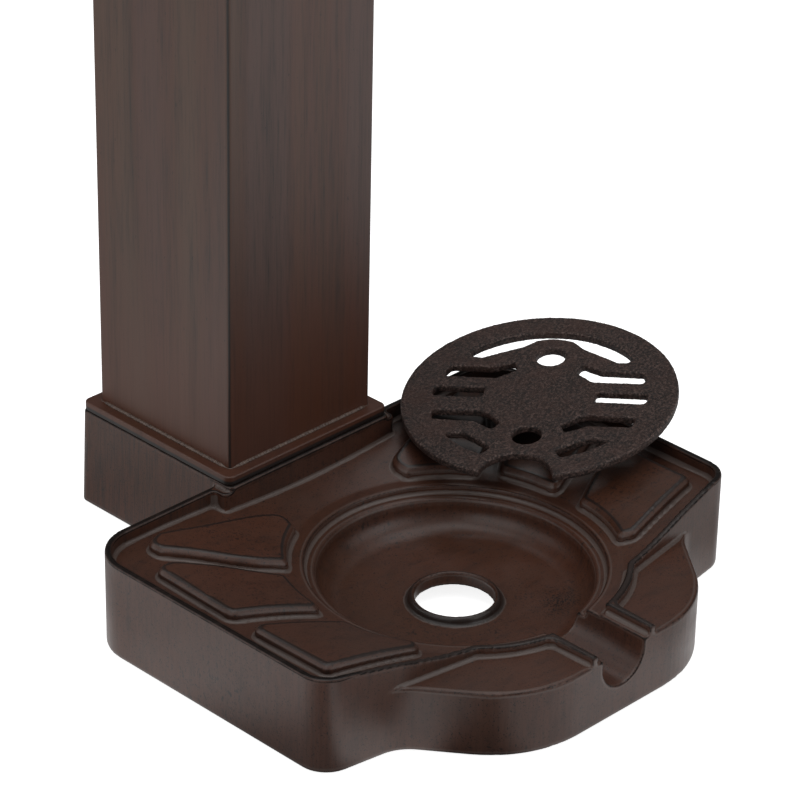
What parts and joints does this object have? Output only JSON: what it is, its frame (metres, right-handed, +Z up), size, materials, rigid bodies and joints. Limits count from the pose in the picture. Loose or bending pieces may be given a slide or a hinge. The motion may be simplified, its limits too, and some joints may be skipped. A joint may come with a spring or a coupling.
{
  "type": "garden fountain with tap",
  "caption": "Standing garden water fountain: square post on a cast catch basin with a drain bowl, a bib tap above it and a loose round slotted drain grate leaning on the basin.",
  "frame": {"origin": "on the post's axis at ground level, at the mouth of the supply pipe guide under the foot", "axes": "+Z up along the post, -Y towards the front, where the bowl and the tap are, +X to the side where the loose grate leans on the basin"},
  "size_m": [0.3377, 0.3353, 0.962],
  "materials": {
    "brass": "turned and polished",
    "cast_body": "cast, painted dark brown, satin",
    "copper_pipe": "drawn copper tube",
    "grate_iron": "rough sand casting, painted dark brown",
    "index_cap": "blue moulded cap",
    "packing": "white packing",
    "post_paint": "sheet steel tube, painted dark brown with brushed streaks",
    "rubber": "moulded rubber",
    "stainless": "plain",
    "weld": "painted weld bead",
    "zinc_steel": "zinc plated"
  },
  "bodies": {
    "root": {"base_casting": "cast_body", "bonnet_washer": "rubber", "cap_screws": "stainless", "elbow_fitting": "brass", "elbow_nut": "brass", "elbow_olive": "brass", "foot_plate": "post_paint", "foot_weld_bead": "weld", "hose_nozzle": "brass", "inlet_adapter": "brass", "inlet_nut": "brass", "inlet_olive": "brass", "nozzle_nut": "brass", "nozzle_washer": "rubber", "packing_nut": "brass", "packing_ring": "packing", "post_cap": "cast_body", "post_fixing_screws": "zinc_steel", "post_fixing_washers": "zinc_steel", "post_tube": "post_paint", "riser_pipe": "copper_pipe", "tap_back_nut": "brass", "tap_back_washer": "zinc_steel", "tap_body": "brass", "tap_bonnet": "brass", "tap_gasket": "rubber", "tap_rosette": "brass"},
    "handle": {"tap_spindle": "brass", "cross_handle": "brass", "handle_screw": "stainless", "handle_index_cap": "index_cap"},
    "valve": {"valve_carrier": "brass", "valve_washer": "rubber", "valve_washer_nut": "brass"},
    "grate": {"drain_grate": "grate_iron"}
  },
  "joints": [
    {"name": "handle_turn", "type": "hinge", "parent": "root", "child": "handle", "pos_m": [0, -0.104, 0.697], "axis": [0, 0, 1], "range_deg": [0, 900]},
    {"name": "valve_lift", "type": "slide", "parent": "root", "child": "valve", "axis": [0, 0, 1], "range_m": [0, 0.004]},
    {"name": "grate_lift", "type": "slide", "parent": "root", "child": "grate", "axis": [0, 0, 1], "range_m": [0, 0.09]}
  ],
  "couplings": [
    {"joint": "valve_lift", "follows": "handle_turn", "m_per_rad": 0.000254}
  ]
}
